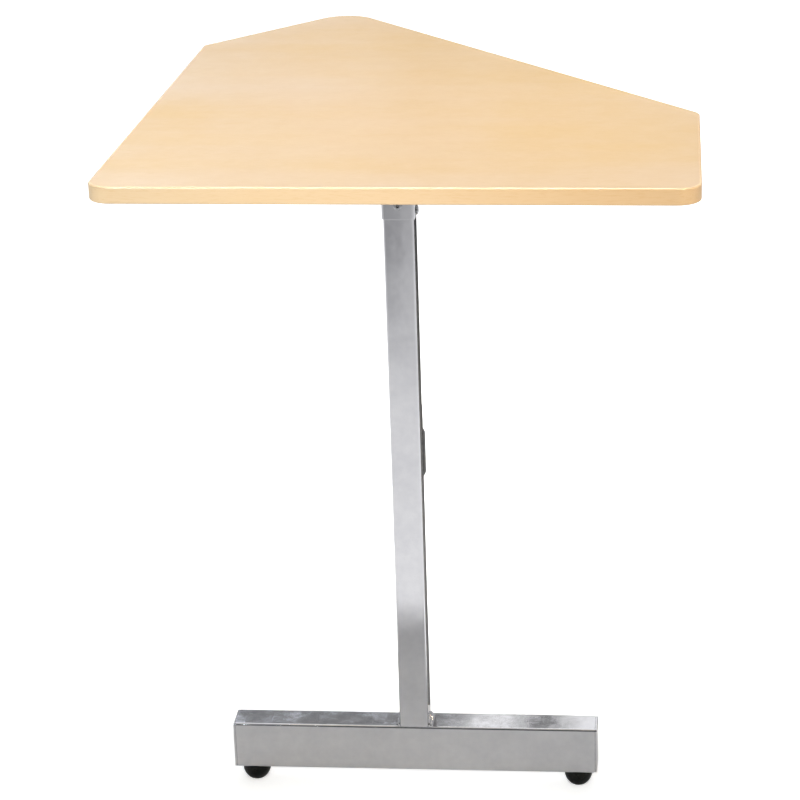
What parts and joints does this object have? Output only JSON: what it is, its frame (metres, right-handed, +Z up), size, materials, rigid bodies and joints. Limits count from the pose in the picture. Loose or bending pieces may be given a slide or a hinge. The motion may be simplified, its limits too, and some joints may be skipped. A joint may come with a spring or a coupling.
{
  "type": "overbed table",
  "caption": "Ward table with a five-sided beech-look top on one square chromed column, a straight foot bar and screw-adjusted glides.",
  "frame": {"origin": "on the floor, in the middle of the table's outer box", "axes": "+X to the right of a person at the long straight front edge, -Y towards that person, +Z up"},
  "size_m": [0.62, 0.8549, 0.855],
  "materials": {
    "chrome_plate": "bright chrome plate over ground and welded steel",
    "beech_laminate": "satin beech-print laminate",
    "beech_edge_band": "satin beech-print edge band",
    "backing_laminate": "plain backing laminate",
    "particle_board": "raw particle board",
    "zinc_steel": "zinc plated steel",
    "black_plastic": "moulded, satin black"
  },
  "bodies": {
    "table": {"backing_laminate": "backing_laminate", "bracket_inserts": "zinc_steel", "column_socket": "chrome_plate", "column_tube": "chrome_plate", "edge_band": "beech_edge_band", "foot_bar": "chrome_plate", "front_gusset": "chrome_plate", "front_weld_nut": "zinc_steel", "left_column_weld": "chrome_plate", "left_end_cap": "chrome_plate", "left_glide_bush": "zinc_steel", "left_gusset": "chrome_plate", "left_lock_nut": "zinc_steel", "mounting_plate": "chrome_plate", "rear_bracket": "zinc_steel", "rear_column_weld": "chrome_plate", "rear_gusset": "chrome_plate", "right_column_weld": "chrome_plate", "right_end_cap": "chrome_plate", "right_glide_bush": "zinc_steel", "right_gusset": "chrome_plate", "right_lock_nut": "zinc_steel", "side_weld_nut": "zinc_steel", "socket_front_screw": "zinc_steel", "socket_side_screw": "zinc_steel", "socket_weld_bead": "chrome_plate", "top_core": "particle_board", "top_laminate": "beech_laminate", "top_screws": "zinc_steel"},
    "left_foot": {"left_glide_base": "black_plastic"},
    "left_stud": {"left_glide_stud": "zinc_steel"},
    "right_foot": {"right_glide_base": "black_plastic"},
    "right_stud": {"right_glide_stud": "zinc_steel"}
  },
  "joints": [
    {"name": "left_glide_height", "type": "slide", "parent": "table", "child": "left_foot", "axis": [0, 0, -1], "range_m": [0, 0.01]},
    {"name": "left_glide_turn", "type": "hinge", "parent": "left_foot", "child": "left_stud", "pos_m": [-0.231, -0.0875, 0.022], "axis": [0, 0, -1], "range_deg": [0, 2880]},
    {"name": "right_glide_height", "type": "slide", "parent": "table", "child": "right_foot", "axis": [0, 0, -1], "range_m": [0, 0.01]},
    {"name": "right_glide_turn", "type": "hinge", "parent": "right_foot", "child": "right_stud", "pos_m": [0.171, -0.0875, 0.022], "axis": [0, 0, -1], "range_deg": [0, 2880]}
  ],
  "couplings": [
    {"joint": "left_glide_height", "follows": "left_glide_turn", "m_per_rad": 0.00019894},
    {"joint": "right_glide_height", "follows": "right_glide_turn", "m_per_rad": 0.00019894}
  ]
}
